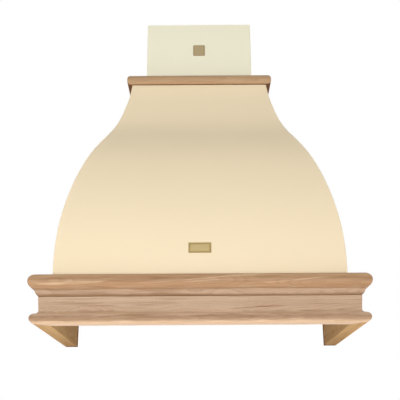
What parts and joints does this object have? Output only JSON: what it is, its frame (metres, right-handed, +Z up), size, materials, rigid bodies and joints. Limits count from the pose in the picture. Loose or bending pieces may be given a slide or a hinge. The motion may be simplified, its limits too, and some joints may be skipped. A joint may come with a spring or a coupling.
{
  "type": "range hood cover",
  "caption": "Wall chimney hood cover: bell-shaped sheet-steel canopy with mitred wooden rail and collar, sliding chimney cover, drop-down grease filters, fan and push buttons.",
  "frame": {"origin": "centre of the four wall fixing holes, on the wall plane", "axes": "+X to the right as seen from the room, +Y into the wall, +Z up; the hood reaches from the wall towards -Y"},
  "size_m": [0.9, 0.5, 1.041],
  "materials": {
    "beech": "clear satin lacquer over steamed beech",
    "canopy_paint": "satin cream powder coat",
    "chimney_paint": "satin ivory powder coat",
    "galvanised_steel": "galvanised sheet",
    "guide_aluminium": "extruded, plain",
    "tray_steel": "fine brushed stainless steel",
    "filter_aluminium": "satin",
    "mesh_aluminium": "expanded and pleated",
    "bolt_steel": "bright zinc",
    "lamp_chrome": "polished",
    "lamp_glass": "frosted",
    "lamp_metal": "spun, plain",
    "control_plastic": "fine matt grain",
    "button_plastic": "satin ivory",
    "fan_plastic": "moulded, fine grain",
    "wheel_aluminium": "pressed",
    "motor_paint": "black enamel",
    "box_plastic": "moulded grey",
    "gland_plastic": "moulded black nylon",
    "badge_brass": "satin lacquered",
    "badge_bronze": "aged satin",
    "screw_steel": "zinc plated"
  },
  "bodies": {
    "hood": {"front_cap_moulding": "beech", "left_cap_moulding": "beech", "right_cap_moulding": "beech", "front_base_moulding": "beech", "left_base_moulding": "beech", "right_base_moulding": "beech", "corner_blocks": "beech", "rail_screws": "screw_steel", "collar_front": "beech", "collar_left": "beech", "collar_right": "beech", "collar_screws": "screw_steel", "canopy_front_panel": "canopy_paint", "canopy_left_panel": "canopy_paint", "canopy_right_panel": "canopy_paint", "back_panel": "galvanised_steel", "neck_frame": "galvanised_steel", "hanging_bars": "galvanised_steel", "chimney_guides": "guide_aluminium", "bottom_tray": "tray_steel", "tray_screws": "screw_steel", "lamp_bezel_left": "lamp_chrome", "lamp_bezel_right": "lamp_chrome", "lamp_lens_left": "lamp_glass", "lamp_lens_right": "lamp_glass", "lamp_can_left": "lamp_metal", "lamp_can_right": "lamp_metal", "control_panel": "control_plastic", "switch_block": "control_plastic", "fan_left_shell": "fan_plastic", "fan_right_shell": "fan_plastic", "motor": "motor_paint", "motor_spider": "galvanised_steel", "fan_cradle": "galvanised_steel", "fan_outlet": "fan_plastic", "fan_screws": "screw_steel", "electric_box": "box_plastic", "electric_box_lid": "box_plastic", "cable_gland": "gland_plastic", "canopy_badge": "badge_brass"},
    "chimney": {"chimney_cover": "chimney_paint", "chimney_wall_bracket": "galvanised_steel", "chimney_screws": "screw_steel", "chimney_badge": "badge_bronze"},
    "fan_rotor": {"fan_wheel": "wheel_aluminium", "fan_blades": "wheel_aluminium", "fan_shaft": "bolt_steel"},
    "rear_flap": {"rear_flap": "fan_plastic"},
    "front_flap": {"front_flap": "fan_plastic"},
    "filter_left": {"filter_frame_left": "filter_aluminium", "filter_mesh_left": "mesh_aluminium"},
    "filter_right": {"filter_frame_right": "filter_aluminium", "filter_mesh_right": "mesh_aluminium"},
    "bolt_left": {"filter_bolt_left": "bolt_steel"},
    "bolt_right": {"filter_bolt_right": "bolt_steel"},
    "light_button": {"light_button": "button_plastic"},
    "off_button": {"off_button": "button_plastic"},
    "low_speed_button": {"low_speed_button": "button_plastic"},
    "middle_speed_button": {"middle_speed_button": "button_plastic"},
    "high_speed_button": {"high_speed_button": "button_plastic"}
  },
  "joints": [
    {"name": "chimney_slide", "type": "slide", "parent": "hood", "child": "chimney", "axis": [0, 0, 1], "range_m": [0, 0.22]},
    {"name": "fan_spin", "type": "hinge", "parent": "hood", "child": "fan_rotor", "pos_m": [0, -0.17, -0.06], "axis": [1, 0, 0], "continuous": true},
    {"name": "rear_flap_pivot", "type": "hinge", "parent": "hood", "child": "rear_flap", "pos_m": [0, -0.1085, 0.085], "axis": [1, 0, 0], "range_deg": [0, 80]},
    {"name": "front_flap_pivot", "type": "hinge", "parent": "hood", "child": "front_flap", "pos_m": [0, -0.1215, 0.085], "axis": [-1, 0, 0], "range_deg": [0, 80]},
    {"name": "filter_left_hinge", "type": "hinge", "parent": "hood", "child": "filter_left", "pos_m": [-0.195, -0.0315, -0.281], "axis": [1, 0, 0], "range_deg": [0, 70]},
    {"name": "bolt_left_slide", "type": "slide", "parent": "filter_left", "child": "bolt_left", "axis": [0, -1, 0], "range_m": [0, 0.005]},
    {"name": "filter_right_hinge", "type": "hinge", "parent": "hood", "child": "filter_right", "pos_m": [0.195, -0.0315, -0.281], "axis": [1, 0, 0], "range_deg": [0, 70]},
    {"name": "bolt_right_slide", "type": "slide", "parent": "filter_right", "child": "bolt_right", "axis": [0, -1, 0], "range_m": [0, 0.005]},
    {"name": "light_button_press", "type": "slide", "parent": "hood", "child": "light_button", "axis": [0, 0, 1], "range_m": [0, 0.0025], "stiffness_N_per_m": 400, "springref_m": -0.0005},
    {"name": "off_button_press", "type": "slide", "parent": "hood", "child": "off_button", "axis": [0, 0, 1], "range_m": [0, 0.0025], "stiffness_N_per_m": 400, "springref_m": -0.0005},
    {"name": "low_speed_button_press", "type": "slide", "parent": "hood", "child": "low_speed_button", "axis": [0, 0, 1], "range_m": [0, 0.0025], "stiffness_N_per_m": 400, "springref_m": -0.0005},
    {"name": "middle_speed_button_press", "type": "slide", "parent": "hood", "child": "middle_speed_button", "axis": [0, 0, 1], "range_m": [0, 0.0025], "stiffness_N_per_m": 400, "springref_m": -0.0005},
    {"name": "high_speed_button_press", "type": "slide", "parent": "hood", "child": "high_speed_button", "axis": [0, 0, 1], "range_m": [0, 0.0025], "stiffness_N_per_m": 400, "springref_m": -0.0005}
  ]
}
